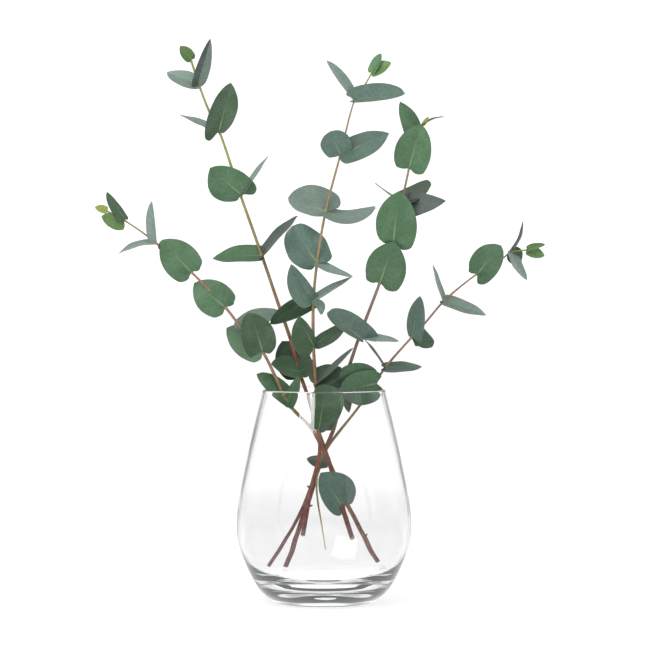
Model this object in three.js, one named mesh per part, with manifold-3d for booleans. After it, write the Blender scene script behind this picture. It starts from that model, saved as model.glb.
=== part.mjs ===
// Five cut sprigs of young eucalyptus standing in a tapered glass vase, in millimetres, +Z up.
// The origin is the middle of the vase's flat underside and the front of the group looks along -Y.
import * as THREE from "three";
import { mergeVertices } from "three/addons/utils/BufferGeometryUtils.js";
import Module from "manifold-3d";

const wasm = await Module();
wasm.setup();

// The vase: a thin blown wall on a thick base.
const VASE_HEIGHT = 170;
const VASE_GREATEST_RADIUS = 70;
const VASE_GREATEST_RADIUS_HEIGHT = 62;
const RIM_RADIUS = 49.2;
const RIM_ROUNDING = 1.1;
const FOOT_RADIUS = 40;
const WALL = 2.2;
const BASE_THICKNESS = 15;
const VASE_SEGMENTS = 44;

// The blades: two flat faces this far apart, and half an outline from the tip to the notch, for a blade with a
// point and for a round one, given as shares of length and of width. BLUNT is the usual share of the round one.
const BLADE_THICKNESS = 0.7;
const BLADE_MIDDLE = 0.36;
const INNER_RING = 0.5;
const CUP_CURVE = 1.5;
const RUFFLES = 5;
const BLUNT = 0.35;
const POINTED = [
  [0.87, 0.17],
  [0.66, 0.37],
  [0.36, 0.49],
  [0.04, 0.43],
  [-0.15, 0.22],
  [-0.05, 0.05],
];
const ROUND = [
  [0.93, 0.24],
  [0.69, 0.445],
  [0.38, 0.5],
  [0.03, 0.43],
  [-0.17, 0.22],
  [-0.05, 0.05],
];

// The stems: a round section drawn along the route from the growing tip to the cut foot. The circle is two
// half turns, and each takes half of the sides.
const STEM_SIDES = 6;
const STEM_STEPS = 24;

// Places are written as they show from the front: across and up in the plane through the vase's axis, then
// the depth behind that plane. EYE is where the front view is seen from, so what is farther back spreads out.
const EYE = { distance: 2000, height: 268 };

function place([across, up, depth]) {
  const spread = (EYE.distance + depth) / EYE.distance;
  return new THREE.Vector3(across * spread, depth, EYE.height + (up - EYE.height) * spread);
}

// Each sprig: its stem from tip to foot, and its leaves. "at" counts the stem's points, where the leaf grows,
// "tip" is where it ends, "face" is the way its upper side looks, "cup" raises its edges beside the midrib and
// "fold" does so straight from it, "bow" arches it along its length, "sweep" bends it sideways, "lobe" lengthens
// the two lobes behind the base, "skew" sets them at a slant, "left" and "right" widen the halves, "taper"
// narrows it toward the tip, "blunt" rounds it, "wave" ruffles its edge.
const SPRIGS = [
  {
    name: "sprig_tall_left",
    colour: 0x55795c,
    tipRadius: 0.9,
    footRadius: 1.9,
    stem: [
      [-106.4, 433.4, 58],
      [-100, 413.8, 57],
      [-92, 392.6, 55.5],
      [-83.6, 375.8, 54],
      [-66.8, 325.4, 49],
      [-49.6, 276.6, 41],
      [-35.2, 234.2, 33],
      [-26.4, 208.6, 27.5],
      [-19.6, 183, 21.5],
      [-14.4, 168.6, 17],
      [-5.6, 139, -1.5],
      [0.8, 121.4, -14],
      [6.4, 103.8, -25],
      [14.4, 75.8, -42],
      [22.4, 50.2, -61.4],
    ],
    leaves: [
      { at: 0, tip: [-114.8, 444.2, 56], width: 11, face: [0.3, -1, 0.2], cup: 0.15, lobe: 0.2 },
      { at: 1, tip: [-125.6, 423, 66], width: 19, face: [-0.1, -0.75, 0.65], cup: 0.2, lobe: 0.7 },
      {
        at: 1, tip: [-90.8, 450.2, 50], width: 15.5, face: [-0.1, -1, -0.1],
        fold: 0.3, taper: 0.3, left: 0.85, skew: 0.25, lobe: 0.4,
      },
      {
        at: 3, tip: [-74.4, 415, 46], width: 24, face: [0.05, -1, 0.05],
        cup: 0.12, skew: 0.45, lobe: 0.7, right: 0.9,
      },
      { at: 3, tip: [-115.2, 389.4, 64], width: 20, face: [0.15, -0.3, 1], cup: 0.15, lobe: 0.4 },
      {
        at: 4, tip: [-91.2, 347, 43], width: 33, face: [0.1, -1, 0.1],
        cup: 0.08, skew: -0.45, lobe: 0.8, right: 0.92,
      },
      { at: 4, tip: [-44.8, 356.6, 56], width: 22, face: [-0.75, -0.2, 0.65], cup: 0.15, lobe: 0.3 },
      { at: 5, tip: [-89.1, 274.5, 45], width: 24, face: [0.1, -0.6, 0.8], cup: 0.25, lobe: 0.3 },
      { at: 5, tip: [-21.2, 308.6, 34], width: 28, face: [-0.6, -0.3, 0.75], cup: 0.15, lobe: 0.2 },
      {
        at: 8, tip: [-42.4, 190.2, 10], width: 26, face: [0.1, -0.75, 0.65],
        cup: 0.1, left: 0.7, lobe: 0.2,
      },
      { at: 8, tip: [-33.6, 208.6, 33], width: 29, face: [0, -1, 0.25], cup: 0.1, lobe: 0.6 },
      {
        at: 8, tip: [-8, 193.4, 24], width: 20, face: [-0.2, -0.95, 0.25],
        cup: 0.15, left: 0.7, right: 0.8, lobe: 0.3,
      },
      {
        at: 13, tip: [-2.7, 103, -45], width: 29, face: [-0.1, -1, 0.1],
        cup: 0.15, right: 1.25, left: 0.75, lobe: 0.5,
      },
    ],
  },
  {
    name: "sprig_centre",
    colour: 0x658a7a,
    tipRadius: 0.6,
    footRadius: 1.8,
    stem: [
      [38.4, 423, -20],
      [32.8, 413.4, -19.5],
      [24.8, 401.4, -19],
      [16.8, 373.4, -17],
      [13, 357.4, -16],
      [1.2, 311.8, -12],
      [-5.6, 271, -9],
      [-8.4, 241.4, -8],
      [-8.4, 204.6, -8.5],
      [-6.4, 173.4, -12],
      [-4, 137.4, -28],
      [-3.6, 117.4, -37.5],
      [-10.4, 89.4, -46.5],
      [-16.8, 52.6, -62.7],
    ],
    leaves: [
      { at: 0, tip: [45.6, 438.2, -22], width: 9.5, face: [-0.6, -0.8, 0.3], cup: 0.2, lobe: 0.1 },
      { at: 0, tip: [53.6, 431, -24], width: 12, face: [0.1, -0.9, 0.5], cup: 0.2, lobe: 0.2 },
      {
        at: 2, tip: [2.4, 432.6, -14], width: 12.5, face: [0.65, -0.6, 0.4],
        cup: 0.2, taper: -1, sweep: 0.02, lobe: 0.3,
      },
      {
        at: 2, tip: [64.8, 406.2, -24], width: 23, face: [0, -0.65, 0.75],
        cup: 0.2, blunt: 0.8, left: 1.15, right: 0.7, skew: 0.2, lobe: 0.6,
      },
      {
        at: 4, tip: [4.4, 379.2, -24], width: 20, face: [-0.1, -1, 0.25],
        cup: 0.1, blunt: 1, taper: -0.5, skew: -0.1, lobe: 0.3,
      },
      {
        at: 4, tip: [52, 374.6, -22], width: 25, face: [-0.1, -0.75, 0.65],
        cup: 0.12, right: 1.28, skew: 0.15, lobe: 0.3,
      },
      {
        at: 5, tip: [-28.8, 323, -12], width: 26, face: [0.1, -0.85, 0.5],
        cup: 0.1, right: 1.5, left: 0.68, skew: -0.35,
      },
      {
        at: 5, tip: [41.3, 315, -20], width: 19, face: [0, -0.55, 0.85],
        cup: 0.15, bow: -0.13, blunt: 1, taper: -0.4, left: 0.85, right: 1.1, lobe: 0.3,
      },
      {
        at: 6, tip: [-28.8, 299.8, -2], width: 36, face: [0.1, -0.9, 0.4],
        cup: 0.1, wave: 0.05, skew: -0.2, right: 1.13, left: 0.8, lobe: 0.4,
      },
      {
        at: 6, tip: [23.2, 259.8, -22], width: 16, face: [0.1, -0.35, 0.95],
        cup: 0.1, sweep: 0.15, lobe: 0.2,
      },
      {
        at: 7, tip: [-26.4, 270.2, -14], width: 19.5, face: [0.3, -0.9, 0.2],
        fold: 0.25, left: 1.55, right: 0.55, sweep: -0.08, lobe: 0.3,
      },
      { at: 7, tip: [21.6, 259.4, -20], width: 22, face: [-0.5, -0.35, 0.8], cup: 0.2, lobe: 0.2 },
      {
        at: 7, tip: [-43.2, 222.2, 0], width: 20, face: [0.2, -0.75, -0.6],
        cup: 0.1, sweep: 0.15, lobe: 0.2,
      },
      {
        at: 8, tip: [-20, 228.6, -20], width: 18, face: [0.35, -0.9, 0.1],
        cup: 0.15, left: 1.3, right: 0.4, lobe: 0.5,
      },
      {
        at: 8, tip: [16, 222.2, 2], width: 20, face: [-0.5, -0.6, 0.6],
        cup: 0.1, left: 0.65, right: 1.2, taper: -0.3, lobe: 0.2,
      },
      {
        at: 9, tip: [23.2, 203, -16], width: 14, face: [-0.65, -0.3, 0.7],
        cup: 0.1, sweep: 0.12, lobe: 0.2,
      },
      { at: 9, tip: [13.6, 187.8, -4], width: 22, face: [-0.4, -0.8, 0.45], cup: 0.3, lobe: 0.3 },
      {
        at: 10, tip: [0.8, 174.2, -22], width: 25, face: [0, -1, 0.1],
        cup: 0.1, blunt: 1, left: 0.7, right: 1.25, lobe: 0.1,
      },
      {
        at: 10, tip: [16.8, 172.6, -14], width: 20, face: [-0.4, -0.9, 0.2],
        cup: 0.1, right: 0.8, lobe: 0.3,
      },
      { at: 7, tip: [-2, 229.4, -11], width: 9, face: [0.5, -0.8, 0.2], cup: 0.1, sweep: -0.3, lobe: 0.1 },
    ],
  },
  {
    name: "sprig_tall_right",
    colour: 0x5e8769,
    tipRadius: 0.7,
    footRadius: 2.1,
    stem: [
      [79.2, 381.4, -22],
      [72.4, 369.4, -21],
      [68, 347, -19],
      [62, 319, -15],
      [55.2, 288.6, -11],
      [44.8, 255.8, -6],
      [33.6, 226.2, 0],
      [28.2, 211.8, 3],
      [20.8, 190.2, 8],
      [16, 175, 11],
      [8, 139, 18.5],
      [1.6, 123, 22],
      [-4.8, 105.4, 25.5],
      [-12, 81.4, 30.5],
      [-31.5, 24.6, 32.3],
    ],
    leaves: [
      { at: 0, tip: [83.6, 387.8, -24], width: 3.5, face: [0, -1, 0.3], lobe: 0.2 },
      { at: 0, tip: [96, 387.8, -22], width: 7, face: [-0.35, -0.25, 0.9], bow: 0.08, lobe: 0.3 },
      {
        at: 1, tip: [60.8, 399.8, -14], width: 17, face: [0.4, -0.9, 0.1],
        cup: 0.15, sweep: 0.06, lobe: 0.5,
      },
      {
        at: 2, tip: [77.6, 382.2, -29], width: 30, face: [0, -1, 0.15],
        cup: 0.08, skew: -0.1, right: 0.97, lobe: 0.4,
      },
      { at: 2, tip: [68, 369, 8], width: 24, face: [0, -0.7, 0.7], cup: 0.1, lobe: 0.3 },
      { at: 3, tip: [82.4, 337.4, 4], width: 28, face: [-0.4, -0.7, 0.6], cup: 0.1, lobe: 0.5 },
      {
        at: 3, tip: [97.6, 320.6, -22], width: 31, face: [0, -0.75, 0.65],
        cup: 0.12, taper: 0.5, left: 0.8, right: 1.2, lobe: 0.3,
      },
      { at: 3, tip: [40.8, 335, -4], width: 14, face: [0.6, -0.1, 0.8], cup: 0.1 },
      {
        at: 4, tip: [60, 328.6, -19], width: 33, face: [0, -1, 0.1],
        cup: 0.08, skew: -0.2, right: 1.08, left: 0.95, lobe: 0.6,
      },
      { at: 4, tip: [58, 311, 18], width: 26, face: [0, -0.7, 0.7], cup: 0.1, lobe: 0.4 },
      {
        at: 5, tip: [56, 288.2, -17], width: 34, face: [0, -1, 0.1],
        cup: 0.1, skew: -0.15, right: 1.05, left: 0.9, lobe: 0.55,
      },
      { at: 5, tip: [50, 277, 22], width: 26, face: [0, -0.7, 0.7], cup: 0.1, lobe: 0.4 },
      {
        at: 7, tip: [2.4, 231, -18], width: 24, face: [0.3, -0.65, 0.7],
        cup: 0.1, blunt: 1, skew: -0.75, right: 1.4, left: 0.45, lobe: 0.9,
      },
      { at: 7, tip: [60, 208.6, 6], width: 17, face: [0, -0.35, 0.95], cup: 0.1, lobe: 0.2 },
      { at: 7, tip: [9.6, 219, 18], width: 14, face: [-0.2, 0.5, 0.8], cup: 0.1, lobe: 0.4 },
      { at: 9, tip: [-0.8, 171, 7], width: 16, face: [0, -0.9, 0.4], cup: 0.1 },
      { at: 9, tip: [20, 151, 14], width: 12, face: [0.5, -0.6, 0], cup: 0.1, lobe: 0.4 },
    ],
  },
  {
    name: "sprig_low_right",
    colour: 0x5f8468,
    tipRadius: 0.6,
    footRadius: 1.5,
    stem: [
      [162.4, 281.4, 48],
      [149.6, 279.8, 46],
      [142.4, 274.2, 45],
      [122.4, 262.2, 42],
      [96, 240.6, 36],
      [81.6, 223.8, 32],
      [70.4, 211.8, 29],
      [48.8, 187, 20],
      [40.8, 174.6, 14],
      [28, 155.8, 7],
      [3.2, 123.8, -3],
      [-4.8, 107.8, -8.5],
      [-19.2, 69.4, -20],
      [-44, 27.8, -33],
    ],
    leaves: [
      { at: 0, tip: [176.8, 285.8, 44], width: 9, face: [-0.2, -0.6, 0.8], cup: 0.2, lobe: 0.2 },
      { at: 0, tip: [176.4, 276.6, 46], width: 10, face: [0, -0.95, 0.3], cup: 0.1, lobe: 0.2 },
      {
        at: 1, tip: [158.8, 304.6, 47], width: 12, face: [-0.95, -0.15, 0.3],
        cup: 0.1, bow: -0.1, lobe: 0.2,
      },
      {
        at: 1, tip: [162.4, 257.4, 40], width: 15, face: [0.6, -0.55, 0.55],
        cup: 0.1, sweep: 0.12, lobe: 0.3,
      },
      { at: 1, tip: [157.6, 271.8, 50], width: 15, face: [-0.2, -0.9, 0.4], cup: 0.1, lobe: 0.8 },
      {
        at: 3, tip: [141.6, 285, 36], width: 28, face: [0, -1, 0.1],
        cup: 0.08, blunt: 0.6, skew: -0.2, left: 0.95, right: 0.88, lobe: 0.85,
      },
      { at: 3, tip: [130, 273, 68], width: 17, face: [0, -0.5, 0.85], cup: 0.1, lobe: 0.4 },
      { at: 4, tip: [87.2, 269.4, 38], width: 15, face: [0.95, -0.3, 0], cup: 0.02, bow: -0.02, lobe: 0.3 },
      { at: 4, tip: [129.6, 229.4, 30], width: 20, face: [0.1, -0.5, 0.85], cup: 0.15, lobe: 0.4 },
      {
        at: 6, tip: [76.8, 244.6, 22], width: 16, face: [-0.3, -0.95, 0.1],
        cup: 0.12, skew: -0.4, left: 0.85, right: 1.15, lobe: 0.6,
      },
      {
        at: 6, tip: [88, 208.8, 46], width: 25, face: [-0.2, -0.85, 0.5],
        cup: 0.1, left: 1.3, right: 0.9, lobe: 0.4,
      },
      {
        at: 7, tip: [78.4, 187.8, 18], width: 18, face: [0, -0.5, 0.85],
        cup: 0.1, left: 0.8, right: 1.15, lobe: 0.6,
      },
      { at: 7, tip: [32, 210.2, 22], width: 14, face: [0.7, -0.1, 0.65], bow: 0.05, lobe: 0.4 },
      { at: 8, tip: [14, 166.2, -3], width: 28, face: [0.1, -1, 0.1], cup: 0.08, lobe: 0.3 },
      { at: 8, tip: [11.2, 184.6, -1], width: 26, face: [0, -1, 0.1], cup: 0.08, lobe: 0.3 },
    ],
    twig: {
      tipRadius: 0.45,
      footRadius: 0.9,
      route: [
        [1.2, 41.4, -9],
        [-2, 61, -9.5],
        [-4.8, 78.2, -10],
        [-5.9, 92, -10],
        [-5.2, 104.5, -9.2],
      ],
    },
  },
  {
    name: "sprig_low_left",
    colour: 0x5b805f,
    tipRadius: 0.6,
    footRadius: 2.0,
    stem: [
      [-173.6, 312.6, -24],
      [-159.6, 305, -23],
      [-142.4, 293.4, -21],
      [-135.2, 287.4, -20],
      [-106.4, 263.8, -16],
      [-79.2, 235.8, -11],
      [-64.8, 217.4, -8],
      [-49.6, 200.6, -5],
      [-39.2, 180.6, 2],
      [-28.4, 158.2, 9.5],
      [-9.6, 137.4, 12],
      [3.4, 112.6, 15.5],
      [9.6, 99, 19.5],
      [18.4, 77.4, 25],
      [44.2, 29.4, 28],
    ],
    leaves: [
      { at: 0, tip: [-183.2, 315.8, -25], width: 6, face: [0, -1, 0.3], cup: 0.1, right: 1.2, lobe: 0.3 },
      {
        at: 1, tip: [-178, 308.2, -30], width: 16, face: [0, -0.95, 0.3],
        cup: 0.1, left: 1.15, right: 0.7, lobe: 0.2,
      },
      {
        at: 1, tip: [-173.6, 327.8, -18], width: 13, face: [0.4, -0.85, 0.3],
        cup: 0.15, right: 0.55, lobe: 0.3,
      },
      {
        at: 3, tip: [-137.6, 320.6, -16], width: 14, face: [0.35, -0.9, 0.1],
        fold: 0.2, left: 1.2, right: 0.25, lobe: 0.3,
      },
      { at: 3, tip: [-164, 278.6, -24], width: 16, face: [0, -0.3, 0.95], bow: 0.1, lobe: 0.4 },
      { at: 4, tip: [-130, 289.4, -21], width: 29.5, face: [0, -1, 0.1], cup: 0.1, lobe: 0.5 },
      { at: 4, tip: [-117, 275, 10], width: 18, face: [0, -0.5, 0.85], cup: 0.1, lobe: 0.4 },
      { at: 5, tip: [-104, 255, -10], width: 29, face: [0, -1, 0.1], bow: 0.1, skew: -0.1, lobe: 0.5 },
      { at: 5, tip: [-90, 247, 15], width: 18, face: [0, -0.5, 0.85], cup: 0.1, lobe: 0.4 },
      { at: 6, tip: [-35.2, 232.6, 15], width: 20, face: [0, -0.85, 0.5], cup: 0.1, left: 1.2, lobe: 0.6 },
      { at: 7, tip: [-78, 219, 2], width: 27, face: [0, -1, 0.1], cup: 0.08, left: 1.1, lobe: 0.6 },
      {
        at: 7, tip: [-61.2, 231, -16], width: 27.5, face: [0, -1, 0],
        cup: 0.15, skew: 0.25, sweep: 0.05, lobe: 0.8,
      },
      {
        at: 9, tip: [-54, 182.2, 0], width: 18, face: [0.2, -0.9, 0.35],
        cup: 0.1, blunt: 0.6, right: 1.25, left: 0.55, lobe: 0.4,
      },
      {
        at: 9, tip: [-20, 180.6, 0], width: 14, face: [-0.4, -0.85, 0.3],
        cup: 0.15, left: 0.7, right: 1.1, lobe: 0.4,
      },
      { at: 11, tip: [-14, 114.2, 11], width: 13, face: [0.2, -0.8, -0.5], cup: 0.3, lobe: 0.4 },
    ],
  },
];

function solidOf(geometry) {
  const bare = geometry.clone();
  bare.deleteAttribute("normal");
  bare.deleteAttribute("uv");
  const merged = mergeVertices(bare, 1e-4);
  return new wasm.Manifold(
    new wasm.Mesh({
      numProp: 3,
      vertProperties: merged.attributes.position.array,
      triVerts: new Uint32Array(merged.index.array),
    }),
  );
}

function geometryOf(solid) {
  const mesh = solid.getMesh();
  return new THREE.BufferGeometry()
    .setAttribute("position", new THREE.BufferAttribute(mesh.vertProperties, mesh.numProp))
    .setIndex(new THREE.BufferAttribute(mesh.triVerts, 1));
}

// A closed shell lathed from the foot up the outside, over the rounded rim and down the inside to the floor.
function vaseGeometry() {
  const outside = new THREE.SplineCurve([
    new THREE.Vector2(FOOT_RADIUS + 1.6, 0.6),
    new THREE.Vector2(51.5, 9.6),
    new THREE.Vector2(62.2, 29),
    new THREE.Vector2(68.6, 48),
    new THREE.Vector2(VASE_GREATEST_RADIUS, VASE_GREATEST_RADIUS_HEIGHT),
    new THREE.Vector2(68.9, 78),
    new THREE.Vector2(63, 109.5),
    new THREE.Vector2(56.4, 139),
    new THREE.Vector2(RIM_RADIUS, VASE_HEIGHT - RIM_ROUNDING),
  ]);
  const inside = new THREE.SplineCurve([
    new THREE.Vector2(RIM_RADIUS - 2 * RIM_ROUNDING, VASE_HEIGHT - RIM_ROUNDING),
    new THREE.Vector2(56.4 - WALL, 139),
    new THREE.Vector2(63 - WALL, 109.5),
    new THREE.Vector2(68.9 - WALL, 78),
    new THREE.Vector2(67, 56),
    new THREE.Vector2(63.2, 39),
    new THREE.Vector2(55, 24.5),
    new THREE.Vector2(41, BASE_THICKNESS + 2.2),
    new THREE.Vector2(22, BASE_THICKNESS + 0.4),
  ]);
  const rimCentre = new THREE.Vector2(RIM_RADIUS - RIM_ROUNDING, VASE_HEIGHT - RIM_ROUNDING);
  const rim = [0.25, 0.5, 0.75].map((share) => {
    const turn = Math.PI * share;
    return new THREE.Vector2(
      rimCentre.x + RIM_ROUNDING * Math.cos(turn),
      rimCentre.y + RIM_ROUNDING * Math.sin(turn),
    );
  });
  const profile = [
    new THREE.Vector2(0, 0),
    new THREE.Vector2(FOOT_RADIUS, 0),
    ...outside.getPoints(12),
    ...rim,
    ...inside.getPoints(10),
    new THREE.Vector2(0, BASE_THICKNESS),
  ];
  return new THREE.LatheGeometry(profile, VASE_SEGMENTS).rotateX(Math.PI / 2);
}

// A round stem along its route, drawn at one radius and then drawn in toward the route to taper it.
function stemGeometry(route, tipRadius, footRadius) {
  const path = new THREE.CatmullRomCurve3(route.map(place), false, "centripetal");
  const circle = new THREE.Shape().absarc(0, 0, footRadius, 0, 2 * Math.PI);
  const geometry = new THREE.ExtrudeGeometry(circle, {
    steps: STEM_STEPS,
    curveSegments: STEM_SIDES / 2,
    extrudePath: path,
    bevelEnabled: false,
  });
  const centres = path.getSpacedPoints(STEM_STEPS);
  const position = geometry.attributes.position;
  const point = new THREE.Vector3();
  for (let i = 0; i < position.count; i++) {
    point.fromBufferAttribute(position, i);
    let nearest = 0;
    centres.forEach((centre, step) => {
      if (centre.distanceTo(point) < centres[nearest].distanceTo(point)) nearest = step;
    });
    const radius = THREE.MathUtils.lerp(tipRadius, footRadius, nearest / STEM_STEPS);
    point.sub(centres[nearest]).multiplyScalar(radius / footRadius).add(centres[nearest]);
    position.setXYZ(i, point.x, point.y, point.z);
  }
  return geometry;
}

// A blade as two alike sheets, one above the other: rings of the outline shrunk toward the blade's middle,
// bent by cup, fold, bow, sweep and wave, and closed by a narrow band along the edge.
function leafGeometry(base, leaf) {
  const { width, cup = 0, fold = 0, bow = 0, sweep = 0, wave = 0 } = leaf;
  const { blunt = BLUNT, lobe = 1, skew = 0, taper = 0, left = 1, right = 1 } = leaf;
  const along = place(leaf.tip).sub(base);
  const length = along.length();
  along.normalize();
  const up = new THREE.Vector3(...leaf.face);
  up.addScaledVector(along, -up.dot(along)).normalize();
  const side = new THREE.Vector3().crossVectors(along, up);

  function edgePoint(i, hand) {
    const u = THREE.MathUtils.lerp(POINTED[i][0], ROUND[i][0], blunt);
    const v = THREE.MathUtils.lerp(POINTED[i][1], ROUND[i][1], blunt) * hand;
    const drawn = u < 0 ? u * lobe : u;
    const slanted = drawn + skew * v * (1 - drawn);
    const wide = hand > 0 ? right : left;
    return [slanted, v * wide * (1 - taper * Math.max(slanted, 0))];
  }

  const outward = POINTED.map((_, i) => edgePoint(i, -1));
  const homeward = POINTED.map((_, i) => edgePoint(i, 1)).reverse();
  const outline = [[1, 0], ...outward, [0, 0], ...homeward];
  const count = outline.length;
  const rings = bow || wave ? [INNER_RING, 1] : [1];

  function bladePoint(u, v, share, turn, lift) {
    const raised = width * ((cup * Math.pow(2 * Math.abs(v), CUP_CURVE)) / 2 + fold * Math.abs(v));
    const arched = bow * length * 4 * u * (1 - u);
    const ruffled = wave * width * share * share * Math.sin(RUFFLES * turn);
    return base
      .clone()
      .addScaledVector(along, u * length)
      .addScaledVector(side, (v + sweep * 4 * u * (1 - u)) * width)
      .addScaledVector(up, raised + arched + ruffled + lift);
  }

  function sheet(lift) {
    const points = [bladePoint(BLADE_MIDDLE, 0, 0, 0, lift)];
    for (const share of rings) {
      outline.forEach(([u, v], i) => {
        const turn = (2 * Math.PI * i) / count;
        points.push(bladePoint(BLADE_MIDDLE + (u - BLADE_MIDDLE) * share, v * share, share, turn, lift));
      });
    }
    return points;
  }

  const points = [...sheet(BLADE_THICKNESS / 2), ...sheet(-BLADE_THICKNESS / 2)];
  const below = points.length / 2;
  const index = [];
  const face = (a, b, c) => index.push(a, b, c, below + a, below + c, below + b);
  for (let i = 0; i < count; i++) {
    const next = (i + 1) % count;
    face(0, 1 + i, 1 + next);
    for (let ring = 1; ring < rings.length; ring++) {
      const inner = 1 + (ring - 1) * count;
      const outer = inner + count;
      face(inner + i, outer + i, outer + next);
      face(inner + i, outer + next, inner + next);
    }
    const edge = 1 + (rings.length - 1) * count;
    index.push(edge + i, below + edge + i, below + edge + next);
    index.push(edge + i, below + edge + next, edge + next);
  }
  const geometry = new THREE.BufferGeometry().setFromPoints(points);
  geometry.setIndex(index);
  return geometry;
}

// One sprig: its stem with every leaf, and a side twig where it has one, as a single body.
function sprigGeometry(sprig) {
  let solid = solidOf(stemGeometry(sprig.stem, sprig.tipRadius, sprig.footRadius));
  for (const leaf of sprig.leaves) {
    solid = solid.add(solidOf(leafGeometry(place(sprig.stem[leaf.at]), leaf)));
  }
  if (sprig.twig) {
    const { route, tipRadius, footRadius } = sprig.twig;
    solid = solid.add(solidOf(stemGeometry(route, tipRadius, footRadius)));
  }
  return geometryOf(solid);
}

const group = new THREE.Group();
group.name = "eucalyptus_in_vase";

const vase = new THREE.Mesh(
  vaseGeometry(),
  new THREE.MeshStandardMaterial({ color: 0xe9efed, roughness: 0.04, metalness: 0 }),
);
vase.name = "vase";
group.add(vase);

for (const sprig of SPRIGS) {
  const mesh = new THREE.Mesh(
    sprigGeometry(sprig),
    new THREE.MeshStandardMaterial({ color: sprig.colour, roughness: 0.62, metalness: 0 }),
  );
  mesh.name = sprig.name;
  group.add(mesh);
}

export default group;
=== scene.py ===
import math
import random

import bpy
from bpy.props import FloatProperty, FloatVectorProperty, IntProperty, PointerProperty, StringProperty
from mathutils import Matrix, Vector


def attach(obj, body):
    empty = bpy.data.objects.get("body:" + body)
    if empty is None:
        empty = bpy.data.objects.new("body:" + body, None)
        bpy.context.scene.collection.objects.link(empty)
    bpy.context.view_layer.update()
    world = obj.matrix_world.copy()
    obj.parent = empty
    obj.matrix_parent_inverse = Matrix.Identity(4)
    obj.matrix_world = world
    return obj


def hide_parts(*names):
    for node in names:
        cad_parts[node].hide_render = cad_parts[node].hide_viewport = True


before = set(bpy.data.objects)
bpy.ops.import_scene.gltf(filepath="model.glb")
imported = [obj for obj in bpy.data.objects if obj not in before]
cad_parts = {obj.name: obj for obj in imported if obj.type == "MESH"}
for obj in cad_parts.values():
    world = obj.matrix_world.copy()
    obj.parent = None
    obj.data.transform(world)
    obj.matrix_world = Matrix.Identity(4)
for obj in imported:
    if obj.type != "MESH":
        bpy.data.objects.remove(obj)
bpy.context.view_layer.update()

bl_info = {
    "name": "Eucalyptus in a Vase",
    "version": (1, 0, 0),
    "blender": (4, 5, 0),
    "location": "View3D > Sidebar > Eucalyptus",
    "description": "Builds cut sprigs of young eucalyptus standing in a clear tapered vase",
    "category": "Add Mesh",
}

MM = 0.001

# Places are written as they show from the front, in millimetres: across and up in the plane through the
# vase's axis, then the depth behind that plane. What is farther from the eye spreads out.
EYE_DISTANCE = 2000
EYE_HEIGHT = 268
AIM_HEIGHT = 221.4
AXIS_OFFSET = 0.8


def place(spot):
    across, up, depth = spot
    spread = (EYE_DISTANCE + depth) / EYE_DISTANCE
    return Vector((across * spread, depth, EYE_HEIGHT + (up - EYE_HEIGHT) * spread)) * MM


# Half of a blade's outline from the corner of the notch to the tip, for a blade with a point and for a
# round one: shares of length and of width. Rows of the blade sweep from the midrib to these points.
POINTED = [(-0.05, 0.05), (-0.15, 0.22), (0.04, 0.43), (0.36, 0.49), (0.66, 0.37), (0.87, 0.17), (1.0, 0.0)]
ROUND = [(-0.05, 0.05), (-0.17, 0.22), (0.03, 0.43), (0.38, 0.5), (0.69, 0.445), (0.93, 0.24), (1.0, 0.0)]
OUTLINE_ROWS = [0.0, 0.15, 0.32, 0.52, 0.71, 0.87, 1.0]
MIDRIB_SWEEP = 1.5
BLUNT = 0.35
# Where the middle of a blade lies along it, and how its columns of faces crowd toward the midrib.
BLADE_MIDDLE = 0.36
CROWDING = 1.35
# The pairs of side veins, their slant toward the tip, and the depth of veins and of the midrib's groove in
# millimetres.
VEIN_PAIRS = 9.0
VEIN_SLANT = 0.16
VEIN_DEPTH = 0.05
GROOVE_DEPTH = 0.25

# What a leaf's form is where it says nothing else.
PLAIN = {
    "bow": 0, "fold": 0, "skew": 0, "taper": 0, "sweep": 0, "blunt": BLUNT, "wave": 0.012,
    "left": 1, "right": 1, "seat": 1, "shade": 1,
}


def leaf(at, tip, width, face, tone, cup=0.1, lobe=0.4, **form):
    own = {"at": at, "tip": tip, "width": width, "face": face, "tone": tone, "cup": cup, "lobe": lobe}
    return {**PLAIN, **own, **form}


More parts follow.
